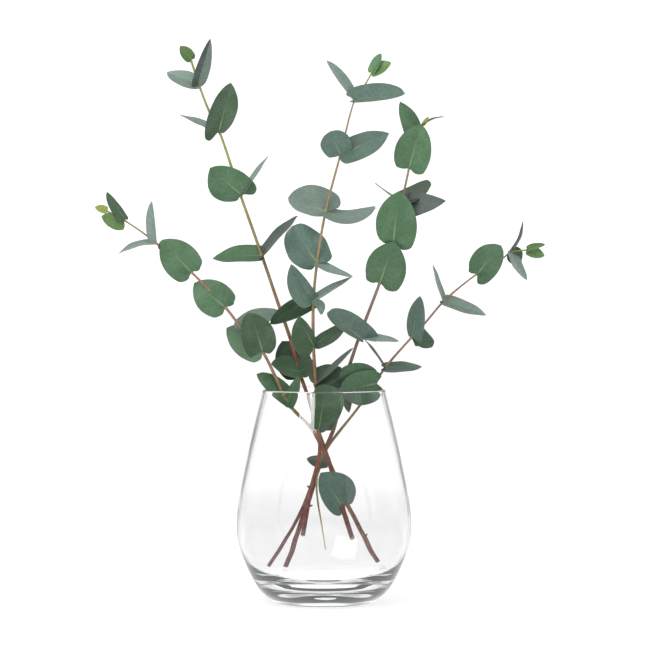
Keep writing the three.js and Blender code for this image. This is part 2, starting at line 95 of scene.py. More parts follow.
# Each sprig has the "radii" of its tip and foot in millimetres, the colours of its "bark" at even stops
# from tip to foot, its "stem" from tip to foot, and its "leaves". "stubs" are small buds: the stem's
# point above one, the share of the way to the next point, the side (1 is left of a stem that grows up,
# -1 is right), its length in millimetres and its colour. For a leaf, "at" counts the stem's points,
# where the leaf grows, "tip" is where it ends, "face" is the way its upper side looks, and "tone" is
# the colour of that side; the deep green tone is painted shade for leaves in the shade of others.
# "shade" makes the tone lighter or darker: partly the leaf's own tone, partly painted shade on leaves
# that lie in shadow. "lean" makes the right half darker and the left lighter: painted shade on one half
# of a folded leaf where it is given, a small random tint where it is not. "cup" raises its edges beside
# the midrib and "fold" does so straight from it, "bow" arches it along its length, "lobe" lengthens the
# two lobes behind the base, "skew" sets them at a slant, "left" and "right" widen the halves, "taper"
# narrows it toward the tip, "sweep" bends it sideways, "blunt" rounds it, "wave" ruffles it, and "seat"
# is how far its base stands before the stem's middle, in radii of the stem, below zero behind it.
SPRIGS = {
    "sprig_tall_left": {
        "radii": (0.9, 1.9),
        "bark": ("olive", "olive", "tan", "russet", "russet", "umber"),
        "stem": [
            (-106.4, 433.4, 58), (-100, 413.8, 57), (-92, 392.6, 55.5), (-83.6, 375.8, 54),
            (-66.8, 325.4, 49), (-49.6, 276.6, 41), (-35.2, 234.2, 33), (-26.4, 208.6, 27.5),
            (-19.6, 183, 21.5), (-14.4, 168.6, 17), (-5.6, 139, -1.5), (0.8, 121.4, -14),
            (6.4, 103.8, -25), (14.4, 75.8, -42), (22.4, 50.2, -61.4),
        ],
        "leaves": [
            leaf(0, (-114.8, 444.2, 56), 11, (0.3, -1, 0.2), "fresh", cup=0.15, lobe=0.6, shade=0.8),
            leaf(1, (-125.6, 423, 66), 19, (-0.1, -0.75, 0.65), "grey", cup=0.2, lobe=0.7, right=0.85,
                 seat=-1),
            # Painted shade: "lean" darkens the left half of this folded leaf.
            leaf(1, (-90.8, 450.2, 50), 15.5, (-0.1, -1, -0.1), "slate", cup=0, fold=0.3, taper=0.3,
                 left=0.72, skew=0.2, lobe=0.5, seat=2.5, shade=1.15, lean=-0.42),
            leaf(3, (-74.4, 415, 46), 24, (0.05, -1, 0.05), "shaded_deep", cup=0.12, skew=0.45, lobe=0.7,
                 right=0.9, seat=3),
            leaf(3, (-115.2, 389.4, 64), 20, (0.15, -0.3, 1), "grey", cup=0.15, seat=-1, left=0.5),
            leaf(4, (-91.2, 347, 43), 33, (0.1, -1, 0.1), "green", cup=0.08, skew=-0.45, lobe=0.8,
                 right=0.92, seat=2.5),
            leaf(4, (-44.8, 356.6, 63), 22, (-0.75, -0.2, 0.65), "grey", cup=0.15, lobe=0.3, seat=-3),
            leaf(5, (-89.1, 274.5, 45), 24, (0.1, -0.6, 0.8), "green", cup=0.25, lobe=0.3),
            leaf(5, (-21.2, 308.6, 34), 28, (-0.6, -0.3, 0.75), "slate", cup=0.15, lobe=0.2),
            leaf(8, (-42.4, 190.2, 10), 26, (0.1, -0.75, 0.65), "green", left=0.7, lobe=0.2, shade=0.8,
                 seat=1.5),
            leaf(8, (-33.6, 208.6, 33), 29, (0, -1, 0.25), "shaded_deep", lobe=0.6, shade=0.6, seat=-1),
            leaf(8, (-8, 193.4, 24), 20, (-0.2, -0.95, 0.25), "shaded_deep", cup=0.15, left=0.7, right=0.8,
                 lobe=0.3),
            leaf(13, (-2.7, 103, -45), 29, (-0.1, -1, 0.1), "blue", cup=0.15, right=1.25, left=0.75,
                 lobe=0.9, skew=0.25),
        ],
    },
    "sprig_centre": {
        "radii": (0.6, 1.8),
        "bark": ("olive", "tan", "tan", "tan", "russet", "russet", "umber"),
        "stubs": [(11, 0.95, 1, 2.4, "umber"), (12, 0.35, -1, 2.2, "umber")],
        "stem": [
            (38.4, 423, -20), (32.8, 413.4, -19.5), (24.8, 401.4, -19), (16.8, 373.4, -17),
            (13, 357.4, -16), (1.2, 311.8, -12), (-5.6, 271, -9), (-8.4, 241.4, -8),
            (-8.4, 204.6, -8.5), (-6.4, 173.4, -12), (-4, 137.4, -28), (-3.6, 117.4, -37.5),
            (-10.4, 89.4, -46.5), (-16.8, 52.6, -62.7),
        ],
        "leaves": [
            leaf(0, (45.6, 438.2, -22), 9.5, (-0.6, -0.8, 0.3), "green", cup=0.2, blunt=0.6, shade=1.35),
            leaf(0, (53.6, 431, -24), 12, (0.1, -0.9, 0.5), "fresh", cup=0.2, shade=1.3),
            leaf(2, (2.4, 432.6, -14), 10, (0.65, -0.6, 0.4), "grey", cup=0.2, taper=-1, sweep=0.1,
                 lobe=0.3),
            leaf(2, (64.8, 406.2, -24), 22, (0, -1, 0.15), "blue", cup=0.2, blunt=0.8, left=1.0,
                 right=0.3, skew=0.1, lobe=0.8, seat=2),
            leaf(4, (5.3, 376.2, -24), 21.5, (-0.1, -1, 0.25), "blue", blunt=1, taper=-0.25, skew=-0.2,
                 lobe=0.2),
            leaf(4, (52, 374.6, -22), 25, (-0.1, -0.75, 0.65), "blue", cup=0.12, right=1.28, skew=0.15,
                 lobe=0.3),
            leaf(5, (-28.8, 323, -12), 26, (0.1, -0.85, 0.5), "grey", right=1.5, left=0.68, skew=-0.45,
                 blunt=0.8, shade=0.8, lobe=1),
            leaf(5, (41.3, 315, -20), 20, (0, -0.55, 0.85), "grey", cup=0.15, bow=-0.19, blunt=1,
                 taper=-0.5, left=0.85, right=1.1, lobe=0.3, shade=0.88),
            leaf(6, (-25.6, 300.5, -2), 34, (0.1, -0.9, 0.4), "blue", wave=0.05, skew=-0.12, right=0.95,
                 left=1.0, lobe=0.5, blunt=0.9),
            leaf(6, (23.2, 259.8, -22), 16, (0.1, -0.35, 0.95), "grey", sweep=0.15, lobe=0.2),
            leaf(7, (-26.4, 270.2, -14), 19.5, (0.3, -0.9, 0.2), "blue", cup=0, fold=0.25, left=1.55,
                 right=0.55, sweep=-0.08, lobe=0.3),
            leaf(7, (21.6, 259.4, -20), 17, (-0.5, -0.35, 0.8), "grey", cup=0.2, lobe=0.2),
            leaf(7, (-43.2, 222.2, 0), 20, (0.2, -0.75, -0.6), "shaded_deep", sweep=0.15, lobe=0.2, seat=-2),
            leaf(8, (-20, 228.6, -20), 18, (0.1, -1, 0.1), "shaded_deep", cup=0.15, left=1.7, right=0.5,
                 lobe=0.8, skew=0.15),
            leaf(8, (16, 222.2, 2), 20, (-0.5, -0.6, 0.6), "shaded_deep", left=0.65, right=1.2, taper=-0.3,
                 lobe=0.2),
            leaf(9, (23.2, 203, -16), 9, (-0.65, -0.3, 0.7), "slate", sweep=0.12, lobe=0.2, taper=-1.2),
            leaf(9, (13.6, 187.8, -4), 22, (-0.4, -0.8, 0.45), "shaded_deep", cup=0.3, lobe=0.3),
            leaf(10, (0.8, 174.2, -22), 19, (0, -1, 0.1), "shaded_deep", blunt=1, left=0.7, right=1.25, lobe=0.1,
                 taper=-0.8, shade=1.1),
            leaf(10, (16.8, 172.6, -14), 20, (-0.4, -0.9, 0.2), "slate", right=0.8, lobe=0.3),
            leaf(7, (-2, 229.4, -11), 9, (0.5, -0.8, 0.2), "grey", sweep=-0.3, lobe=0.1),
        ],
    },
    "sprig_tall_right": {
        "radii": (0.7, 2.1),
        "bark": ("olive", "plum", "plum", "plum", "umber", "umber"),
        "stem": [
            (79.2, 381.4, -22), (72.4, 369.4, -21), (68, 347, -19), (62, 319, -15),
            (55.2, 288.6, -11), (44.8, 255.8, -6), (33.6, 226.2, 0), (28.2, 211.8, 3),
            (20.8, 190.2, 8), (16, 175, 11), (8, 139, 18.5), (1.6, 123, 22),
            (-4.8, 105.4, 25.5), (-12, 81.4, 30.5), (-31.5, 24.6, 32.3),
        ],
        "leaves": [
            leaf(0, (83.6, 387.8, -24), 3.5, (0, -1, 0.3), "lime", cup=0, lobe=0.2),
            leaf(0, (96, 387.8, -22), 7, (-0.35, -0.25, 0.9), "slate", cup=0, bow=0.08, lobe=0.3),
            leaf(1, (60.8, 399.8, -14), 17, (0.4, -0.9, 0.1), "green", cup=0.15, sweep=0.06, lobe=0.1,
                 seat=-1),
            leaf(2, (77.6, 382.2, -29), 30, (0, -1, 0.15), "green", cup=0.08, skew=-0.1, right=0.97,
                 seat=1.5),
            leaf(2, (68, 369, 8), 24, (0, -0.7, 0.7), "green", lobe=0.3),
            leaf(3, (82.4, 337.4, 26), 28, (-0.4, -0.7, 0.6), "shaded_deep", lobe=0.5, seat=-2),
            leaf(3, (97.6, 320.6, -22), 24.5, (0, -1, 0.3), "slate", cup=0.12, taper=0.5, left=0.8,
                 right=1.2, lobe=0, seat=-5),
            leaf(3, (40.8, 335, -4), 14, (0.6, -0.1, 0.8), "grey", lobe=1),
            leaf(4, (60, 328.6, -28), 33, (0, -1, 0.1), "green", cup=0.08, skew=-0.2, right=1.08,
                 left=0.95, lobe=0.6, seat=3),
            leaf(4, (58, 311, 18), 26, (0, -0.7, 0.7), "green"),
            leaf(5, (56, 288.2, -17), 34, (0, -1, 0.1), "green", skew=-0.15, right=1.05, left=0.9,
                 lobe=0.55, shade=0.82),
            leaf(5, (50, 277, 22), 26, (0, -0.7, 0.7), "green"),
            leaf(7, (2.4, 231, -18), 20, (0.15, -1, 0.2), "blue", blunt=1, skew=-0.6, right=1.3,
                 left=0.45, lobe=1.1, seat=3.5, shade=0.85),
            leaf(7, (60, 208.6, 6), 17, (0, -0.35, 0.95), "grey", lobe=0.2),
            leaf(7, (9.6, 219, 18), 14, (-0.2, 0.5, 0.8), "grey"),
            leaf(9, (-0.8, 171, 7), 16, (0, -0.9, 0.4), "blue", lobe=1),
            leaf(9, (20, 151, 14), 12, (0.5, -0.6, 0), "shaded_deep"),
        ],
    },
    "sprig_low_right": {
        "radii": (0.6, 1.5),
        "bark": ("olive", "rose", "rose", "tan", "umber", "umber"),
        "stem": [
            (162.4, 281.4, 48), (149.6, 279.8, 46), (142.4, 274.2, 45), (122.4, 262.2, 42),
            (96, 240.6, 36), (81.6, 223.8, 32), (70.4, 211.8, 29), (48.8, 187, 20),
            (40.8, 174.6, 14), (28, 155.8, 7), (3.2, 123.8, -3), (-4.8, 107.8, -8.5),
            (-19.2, 69.4, -20), (-44, 27.8, -33),
        ],
        "leaves": [
            leaf(0, (176.8, 285.8, 44), 9, (-0.2, -0.6, 0.8), "fresh", cup=0.2, lobe=0.2),
            leaf(0, (176.4, 276.6, 46), 10, (0, -0.95, 0.3), "fresh", lobe=0.2),
            leaf(1, (158.8, 304.6, 47), 12, (-0.95, -0.15, 0.3), "slate", bow=-0.1, lobe=0.2),
            leaf(1, (162.4, 257.4, 40), 15, (0.6, -0.55, 0.55), "grey", sweep=0.12, lobe=0.3),
            leaf(1, (157.6, 271.8, 50), 15, (-0.2, -0.9, 0.4), "shaded_deep", lobe=0.8),
            leaf(3, (141.6, 285, 36), 28, (0, -1, 0.1), "green", cup=0.08, blunt=0.6, skew=-0.2,
                 left=0.95, right=0.88, lobe=0.85),
            leaf(3, (130, 273, 68), 17, (0, -0.5, 0.85), "green"),
            leaf(4, (87.2, 269.4, 38), 15, (0.95, -0.3, 0), "grey", cup=0.02, bow=-0.02, lobe=0.3),
            leaf(4, (129.6, 229.4, 30), 20, (0.1, -0.5, 0.85), "grey", cup=0.15),
            leaf(6, (76.8, 244.6, 22), 16, (-0.3, -0.95, 0.1), "blue", cup=0.12, skew=-0.4, left=0.85,
                 right=1.15, lobe=0.6),
            leaf(6, (88, 208.8, 46), 25, (-0.2, -0.85, 0.5), "shaded_deep", left=1.3, right=0.9),
            leaf(7, (78.4, 187.8, 18), 18, (0, -0.5, 0.85), "blue", left=0.8, right=1.15, lobe=0.6),
            leaf(7, (32, 210.2, 22), 14, (0.7, -0.1, 0.65), "slate", cup=0, bow=0.05),
            leaf(8, (13.4, 168.4, -5), 29, (0.1, -1, 0.1), "green", cup=0.08, lobe=1.0, blunt=1,
                 skew=-0.1, shade=0.85, seat=2, right=0.85, left=1.05),
            leaf(8, (11.2, 184.6, -1), 26, (0, -1, 0.1), "green", cup=0.08, lobe=0.3, shade=0.85,
                 seat=-3),
        ],
        "twig": {
            "radii": (0.45, 0.9),
            "bark": ("pith", "tan", "olive"),
            "stem": [
                (1.2, 41.4, -9), (-2, 61, -9.5), (-4.8, 78.2, -10), (-5.9, 92, -10), (-5.2, 104.5, -9.2),
            ],
        },
    },
    "sprig_low_left": {
        "radii": (0.6, 2.0),
        "bark": ("olive", "rose", "rose", "tan", "russet", "umber"),
        "stubs": [(3, 0.12, -1, 3.4, "umber"), (13, 0.55, -1, 1.8, "umber")],
        "stem": [
            (-173.6, 312.6, -24), (-159.6, 305, -23), (-142.4, 293.4, -21), (-135.2, 287.4, -20),
            (-106.4, 263.8, -16), (-79.2, 235.8, -11), (-64.8, 217.4, -8), (-49.6, 200.6, -5),
            (-39.2, 180.6, 2), (-28.4, 158.2, 9.5), (-9.6, 137.4, 12), (3.4, 112.6, 15.5),
            (9.6, 99, 19.5), (18.4, 77.4, 25), (44.2, 29.4, 28),
        ],
        "leaves": [
            leaf(0, (-183.2, 315.8, -25), 6, (0, -1, 0.3), "lime", right=1.2, lobe=0.3),
            leaf(1, (-178, 308.2, -30), 16, (0, -0.95, 0.3), "fresh", left=1.15, right=0.7, lobe=0.2,
                 seat=-1),
            leaf(1, (-173.6, 327.8, -18), 13, (0.4, -0.85, 0.3), "shaded_deep", cup=0.15, right=0.55, lobe=0.3,
                 seat=3),
            leaf(3, (-137.6, 320.6, -16), 11.5, (0.35, -0.9, 0.1), "grey", cup=0, fold=0.2, left=1.2,
                 right=0.25, lobe=0.3),
            leaf(3, (-164, 278.6, -24), 16, (0, -0.3, 0.95), "grey", cup=0, bow=0.1),
            leaf(4, (-130, 289.4, -21), 29.5, (0, -1, 0.1), "green", lobe=0.5),
            leaf(4, (-117, 275, 10), 18, (0, -0.5, 0.85), "green"),
            leaf(5, (-104, 255, -10), 29, (0, -1, 0.1), "green", cup=0, bow=0.1, skew=-0.1, lobe=0.5),
            leaf(5, (-90, 247, 15), 18, (0, -0.5, 0.85), "green"),
            leaf(6, (-35.2, 232.6, 15), 20, (0, -0.85, 0.5), "grey", left=1.2, lobe=0.6, right=0.5,
                 seat=-1),
            leaf(7, (-78, 219, 2), 27, (0, -1, 0.1), "green", cup=0.08, left=1.0, lobe=0.5),
            leaf(7, (-61.2, 231, -16), 27.5, (0, -1, 0), "shaded_deep", cup=0.15, skew=0.0, sweep=0.05, lobe=0.7,
                 blunt=0.6),
            leaf(9, (-54, 182.2, 0), 18, (0.2, -0.9, 0.35), "green", blunt=0.6, right=1.25, left=0.55),
            leaf(9, (-20, 180.6, 0), 14, (-0.4, -0.85, 0.3), "green", cup=0.15, left=0.7, right=1.1),
            leaf(11, (-14, 114.2, 11), 13, (0.2, -0.8, -0.5), "slate", cup=0.3),
        ],
    },
}

# The vase's outside from the foot to the rim, and its inside from the rim to the floor: radius and height.
OUTSIDE = [
    (41.6, 0.6), (51.5, 9.6), (62.2, 29), (68.6, 48), (69.99, 62), (68.9, 78), (63, 109.5), (56.4, 139),
    (49.2, 168.9),
]
INSIDE = [
    (47, 168.9), (54.2, 139), (60.8, 109.5), (66.7, 78), (67, 56), (63.2, 39), (55, 24.5), (41, 17.2),
    (22, 15.4), (0, 15),
]


# Steps along the vase's profile, round its rim and across its foot, and between two points of a curve.
PROFILE_STEPS = 72
RIM_STEPS = 10
FOOT_STEPS = 6
CURVE_STEPS = 12

# Along a stem, in millimetres: the length of a row of faces, and how far a node's swelling reaches.
RING_LENGTH = 1.6
NODE_REACH = 1.7

# The camera's lens and sensor in millimetres, the floor's width in metres, and its gap below the foot.
LENS = 138.46
SENSOR = 36
FLOOR_WIDTH = 60
FLOOR_GAP = 0.4

WHITE = (1, 1, 1, 1)
BLACK = (0, 0, 0, 1)


def colour(name, text, value):
    return FloatVectorProperty(
        name=name, description=text, default=value, subtype="COLOR", size=3, min=0, max=1
    )


def measure(name, text, value):
    return FloatProperty(name=name, description=text, default=value * MM, unit="LENGTH", subtype="DISTANCE")


def number(name, text, value, most, least=0):
    return FloatProperty(name=name, description=text, default=value, min=least, max=most)


def count(name, text, value, least, most):
    return IntProperty(name=name, description=text, default=value, min=least, max=most)


class VaseSettings(bpy.types.PropertyGroup):
    rim: measure("Rim rounding", "Radius of the rounded rim", 1.1)
    foot: measure("Foot radius", "Radius of the flat underside", 40)
    steps: count("Steps", "Faces round the vase", 160, 32, 256)
    ior: number("IOR", "How strongly the glass bends light", 1.5, 2, 1)
    # Painted light: how strongly the glass glows on rays that have bounced many times, so the thick foot
    # shows grey instead of black.
    foot_glow: number("Caught light", "Light held between the faces of the foot", 0.6, 10)
    density: number("Density", "How much light a metre of the glass takes", 4, 200)
    tint: colour("Tint", "Colour that thick glass takes on", (0.66, 0.69, 0.68))
    # Painted shade: the dark colour the wall takes for the eye where it is seen edge on, in place of dark
    # surroundings seen through it.
    edge: colour("Edge", "Colour of the wall seen edge on", (0.08, 0.09, 0.09))


class LeafSettings(bpy.types.PropertyGroup):
    thickness: measure("Thickness", "Thickness beside the midrib", 0.5)
    edge: measure("Edge", "Thickness along the edge", 0.26)
    midrib: measure("Midrib", "How far the midrib stands out below", 0.45)
    columns: count("Columns", "Faces across a blade", 24, 8, 64)
    rows: count("Rows", "Faces along a blade", 26, 8, 64)
    green: colour("Green", "Full-grown leaves", (0.064, 0.148, 0.066))
    # Painted shade: a darker green that stands in for the shade other leaves cast on these.
    shaded_deep: colour("Deep green", "Leaves in the shade of others", (0.036, 0.080, 0.034))
    fresh: colour("Fresh green", "Leaves with little bloom", (0.105, 0.200, 0.058))
    blue: colour("Blue-green", "Leaves with a waxy bloom", (0.088, 0.152, 0.118))
    grey: colour("Grey-green", "Leaves with a heavy bloom", (0.200, 0.275, 0.235))
    slate: colour("Slate", "Dark leaves with a bluish bloom", (0.062, 0.088, 0.072))
    lime: colour("Lime", "Leaves that have just opened", (0.270, 0.330, 0.040))
    bloom: colour("Bloom", "The waxy bloom", (0.340, 0.450, 0.400))
    rib: colour("Rib", "The midrib near the base", (0.300, 0.400, 0.190))
    edging: colour("Edging", "The dry edge of a blade", (0.190, 0.150, 0.105))


class StemSettings(bpy.types.PropertyGroup):
    sides: count("Sides", "Faces round a stem", 16, 6, 32)
    swelling: number("Swelling", "How much thicker a node is", 0.35, 1)
    olive: colour("Olive", "Young green bark", (0.300, 0.300, 0.090))
    tan: colour("Tan", "Golden bark", (0.300, 0.215, 0.098))
    russet: colour("Russet", "Red-brown bark", (0.220, 0.075, 0.045))
    plum: colour("Plum", "Purple-brown bark", (0.215, 0.130, 0.105))
    rose: colour("Rose", "Pinkish brown bark", (0.320, 0.170, 0.115))
    umber: colour("Umber", "Dark old bark", (0.145, 0.036, 0.036))
    pith: colour("Pith", "Cut wood and bare pale twig", (0.520, 0.480, 0.340))
    collar: colour("Collar", "Green bark about a node", (0.330, 0.400, 0.110))


class StageSettings(bpy.types.PropertyGroup):
    floor: colour("Floor", "The floor", (0.55, 0.55, 0.55))
    glow: number("Glow", "Light that the floor adds to itself", 0.6, 2)
    # Painted light and shade on the floor, seen only in the glass: light under the foot, shade round it,
    # light far off.
    under_foot_light: number("Under Foot", "Floor right under the foot, seen in the glass", 1.6, 2)
    near_floor_shade: number("Near Floor", "Floor round the foot, seen in the glass", 0.96, 2)
    far_floor_light: number("Far Floor", "Floor far off, seen in the glass", 1.2, 2)
    key: number("Key", "Power of the large soft light", 16, 200)
    sky: number("Sky", "Brightness of the surroundings", 0.75, 4)
    panel: number("Panel", "Power of the panel mirrored in the glass", 11, 200)


def settings():
    return bpy.context.scene.eucalyptus


class Settings(bpy.types.PropertyGroup):
    vase: PointerProperty(type=VaseSettings)
    leaves: PointerProperty(type=LeafSettings)
    stems: PointerProperty(type=StemSettings)
    stage: PointerProperty(type=StageSettings)


def new_group(name, inputs, outputs):
    group = bpy.data.node_groups.new(name, "ShaderNodeTree")
    for way, sockets in (("INPUT", inputs), ("OUTPUT", outputs)):
        for label, kind in sockets:
            group.interface.new_socket(label, in_out=way, socket_type=kind)
    return group, group.nodes.new("NodeGroupInput"), group.nodes.new("NodeGroupOutput")


def connect(tree, value, socket):
    if isinstance(value, bpy.types.NodeSocket):
        tree.links.new(value, socket)
    else:
        socket.default_value = value


def plug(tree, made, **sockets):
    """Fills a node's inputs, whose names have an underscore for each space, with values or links."""
    for label, value in sockets.items():
        connect(tree, value, made.inputs[label.replace("_", " ")])
    return made


def node(tree, kind, **sockets):
    return plug(tree, tree.nodes.new(kind), **sockets)


def maths(tree, operation, *values):
    made = tree.nodes.new("ShaderNodeMath")
    made.operation = operation
    for value, socket in zip(values, made.inputs):
        connect(tree, value, socket)
    return made.outputs[0]


def times(tree, first, second):
    return maths(tree, "MULTIPLY", first, second)


def less(tree, first, second):
    return maths(tree, "SUBTRACT", first, second)


def mix(tree, share, first, second, blend="MIX"):
    made = tree.nodes.new("ShaderNodeMix")
    made.data_type = "RGBA"
    made.blend_type = blend
    connect(tree, share, made.inputs[0])
    connect(tree, first, made.inputs[6])
    connect(tree, second, made.inputs[7])
    return made.outputs[2]


def ramp(tree, value, low, high, to_low=0.0, to_high=1.0):
    made = tree.nodes.new("ShaderNodeMapRange")
    made.interpolation_type = "SMOOTHSTEP"
    connect(tree, value, made.inputs["Value"])
    for label, number in (("From Min", low), ("From Max", high), ("To Min", to_low), ("To Max", to_high)):
        connect(tree, number, made.inputs[label])
    return made.outputs[0]


def noise(tree, vector, scale, detail=3.0):
    return node(tree, "ShaderNodeTexNoise", Vector=vector, Scale=scale, Detail=detail).outputs["Fac"]


def attribute(tree, name):
    made = tree.nodes.new("ShaderNodeAttribute")
    made.attribute_name = name
    return made


def rgba(value):
    return (*value, 1.0)


def new_material(name):
    material = bpy.data.materials.new(name)
    material.use_nodes = True
    tree = material.node_tree
    return material, tree, tree.nodes["Principled BSDF"]


def vein_group():
    """Masks for the midrib and the side veins of a blade, from the blade's own map."""
    group, inside, outside = new_group(
        "blade veins",
        [("Map", "NodeSocketVector")],
        [("Midrib", "NodeSocketFloat"), ("Side veins", "NodeSocketFloat"), ("Across", "NodeSocketFloat")],
    )
    parts = node(group, "ShaderNodeSeparateXYZ", Vector=inside.outputs["Map"])
    across = times(group, maths(group, "ABSOLUTE", less(group, parts.outputs["X"], 0.5)), 2.0)
    along = parts.outputs["Y"]
    width = ramp(group, along, 0.0, 0.8, 0.085, 0.03)
    line = ramp(group, maths(group, "DIVIDE", across, width), 0.4, 1.0, 1.0, 0.0)
    midrib = times(group, line, ramp(group, along, 0.1, 0.85, 1.0, 0.15))
    swept = less(group, along, times(group, across, VEIN_SLANT))
    phase = maths(group, "FRACT", times(group, swept, VEIN_PAIRS))
    line = ramp(group, maths(group, "ABSOLUTE", less(group, phase, 0.5)), 0.0, 0.13, 1.0, 0.0)
    side_veins = times(group, line, ramp(group, across, 0.55, 1.0, 1.0, 0.15))
    plug(group, outside, Midrib=midrib, Side_veins=side_veins, Across=across)
    return group


def mottle_group():
    """Cloudy change of a colour over a surface, from coarse to fine."""
    group, inside, outside = new_group(
        "mottle",
        [
            ("Place", "NodeSocketVector"),
            ("Colour", "NodeSocketColor"),
            ("Second", "NodeSocketColor"),
            ("Scale", "NodeSocketFloat"),
            ("Amount", "NodeSocketFloat"),
        ],
        [("Colour", "NodeSocketColor"), ("Cloud", "NodeSocketFloat")],
    )
    given = inside.outputs
    cloud = ramp(group, noise(group, given["Place"], given["Scale"]), 0.38, 0.66)
    mixed = mix(group, times(group, cloud, given["Amount"]), given["Colour"], given["Second"])
    fine = noise(group, given["Place"], times(group, given["Scale"], 7.0), 5.0)
    bright = node_grey(group, ramp(group, fine, 0.3, 0.7, 0.88, 1.12))
    plug(group, outside, Colour=mix(group, 1.0, mixed, bright, "MULTIPLY"), Cloud=cloud)
    return group


def node_grey(tree, value):
    made = node(tree, "ShaderNodeCombineColor", Red=value, Green=value, Blue=value)
    return made.outputs["Color"]


def shared(kept, name, build):
    """The material or the group of that name, built when it is first asked for."""
    return kept.get(name) or build()


def place_group(tree, name, build, **sockets):
    made = tree.nodes.new("ShaderNodeGroup")
    made.node_tree = shared(bpy.data.node_groups, name, build)
    return plug(tree, made, **sockets)


def bump(tree, shader, height, strength, depth):
    bumped = node(tree, "ShaderNodeBump", Height=height, Strength=strength, Distance=depth * MM)
    plug(tree, shader, Normal=bumped.outputs["Normal"])


def leaf_material():
    look = settings().leaves
    material, tree, shader = new_material("eucalyptus_leaf")
    coords = tree.nodes.new("ShaderNodeTexCoord").outputs
    veins = place_group(tree, "blade veins", vein_group, Map=coords["UV"]).outputs
    tone = attribute(tree, "tone").outputs["Color"]
    under = attribute(tree, "under").outputs["Fac"]
    bloom = rgba(look.bloom)
    mottled = place_group(
        tree, "mottle", mottle_group,
        Place=coords["Object"], Colour=tone, Second=bloom, Scale=70, Amount=0.08,
    ).outputs
    pale = mix(tree, 0.42, mottled["Colour"], bloom)
    side = mix(tree, ramp(tree, under, 0.55, 0.8), mottled["Colour"], pale)
    ribbed = mix(tree, times(tree, veins["Midrib"], 0.55), side, rgba(look.rib))
    netted = mix(tree, times(tree, veins["Side veins"], 0.035), ribbed, bloom)
    rim = times(tree, times(tree, under, less(tree, 1.0, under)), 4.0)
    near_edge = times(tree, ramp(tree, veins["Across"], 0.965, 1.0), 0.35)
    edge = maths(tree, "MAXIMUM", ramp(tree, rim, 0.2, 0.8), near_edge)
    plug(
        tree,
        shader,
        Base_Color=mix(tree, edge, netted, rgba(look.edging)),
        Roughness=ramp(tree, mottled["Cloud"], 0.0, 1.0, 0.46, 0.6),
        Specular_IOR_Level=0.38,
    )
    grain = noise(tree, coords["Object"], 900.0, 2.0)
    relief = less(tree, times(tree, grain, 0.2), times(tree, veins["Side veins"], 0.5))
    bump(tree, shader, relief, 0.35, 0.12)
    return material


def bark_material():
    pith = rgba(settings().stems.pith)
    material, tree, shader = new_material("eucalyptus_bark")
    coords = tree.nodes.new("ShaderNodeTexCoord").outputs
    stretch = node(tree, "ShaderNodeMapping", Vector=coords["UV"], Scale=(9.0, 26.0, 1.0))
    streak = noise(tree, stretch.outputs["Vector"], 1.0, 4.0)
    bark = attribute(tree, "bark").outputs["Color"]
    mottled = place_group(
        tree, "mottle", mottle_group,
        Place=coords["Object"], Colour=bark, Second=pith, Scale=120, Amount=0.1,
    )
    streaks = node_grey(tree, ramp(tree, streak, 0.3, 0.7, 0.7, 1.25))
    streaked = mix(tree, 1.0, mottled.outputs["Colour"], streaks, "MULTIPLY")
    dots = node(tree, "ShaderNodeTexVoronoi", Vector=coords["Object"], Scale=420.0)
    pore = ramp(tree, dots.outputs["Distance"], 0.12, 0.22, 1.0, 0.0)
    plug(
        tree,
        shader,
        Base_Color=mix(tree, times(tree, pore, 0.45), streaked, pith),
        Roughness=ramp(tree, streak, 0.3, 0.7, 0.42, 0.62),
        Specular_IOR_Level=0.4,
    )
    bump(tree, shader, maths(tree, "ADD", streak, times(tree, pore, 0.6)), 0.5, 0.15)
    return material


def cut_material():
    pith = settings().stems.pith
    dark = tuple(0.45 * share for share in pith)
    material, tree, shader = new_material("cut_wood")
    fibre = noise(tree, tree.nodes.new("ShaderNodeTexCoord").outputs["Object"], 1800.0, 2.0)
    wood = mix(tree, ramp(tree, fibre, 0.35, 0.65), rgba(dark), rgba(pith))
    plug(tree, shader, Base_Color=wood, Roughness=ramp(tree, fibre, 0.3, 0.7, 0.7, 0.9))
    return material


def glass_material():
    look = settings().vase
    material, tree, shader = new_material("clear_glass")
    facing = tree.nodes.new("ShaderNodeLayerWeight").outputs["Facing"]
    path = tree.nodes.new("ShaderNodeLightPath").outputs
    # Painted shade: for the eye, the wall seen edge on is darkened, in place of dark surroundings seen
    # through the glass.
    edge = times(tree, ramp(tree, facing, 0.83, 0.94), path["Is Camera Ray"])
    plug(
        tree,
        shader,
        Base_Color=mix(tree, edge, WHITE, rgba(look.edge)),
        Roughness=0.0,
        IOR=look.ior,
        Transmission_Weight=1.0,
        Specular_IOR_Level=0.5,
        Emission_Color=WHITE,
        # Painted light: the glass glows on rays that have bounced many times, so light caught between the
        # faces of the thick foot comes out grey instead of black.
        Emission_Strength=ramp(tree, path["Ray Depth"], 5.0, 8.0, 0.0, look.foot_glow),
    )
    swell = noise(tree, tree.nodes.new("ShaderNodeTexCoord").outputs["Object"], 22.0, 1.0)
    bump(tree, shader, swell, 0.12, 2)
    depth = node(tree, "ShaderNodeVolumeAbsorption", Color=rgba(look.tint), Density=look.density)
    plug(tree, tree.nodes["Material Output"], Volume=depth.outputs["Volume"])
    return material


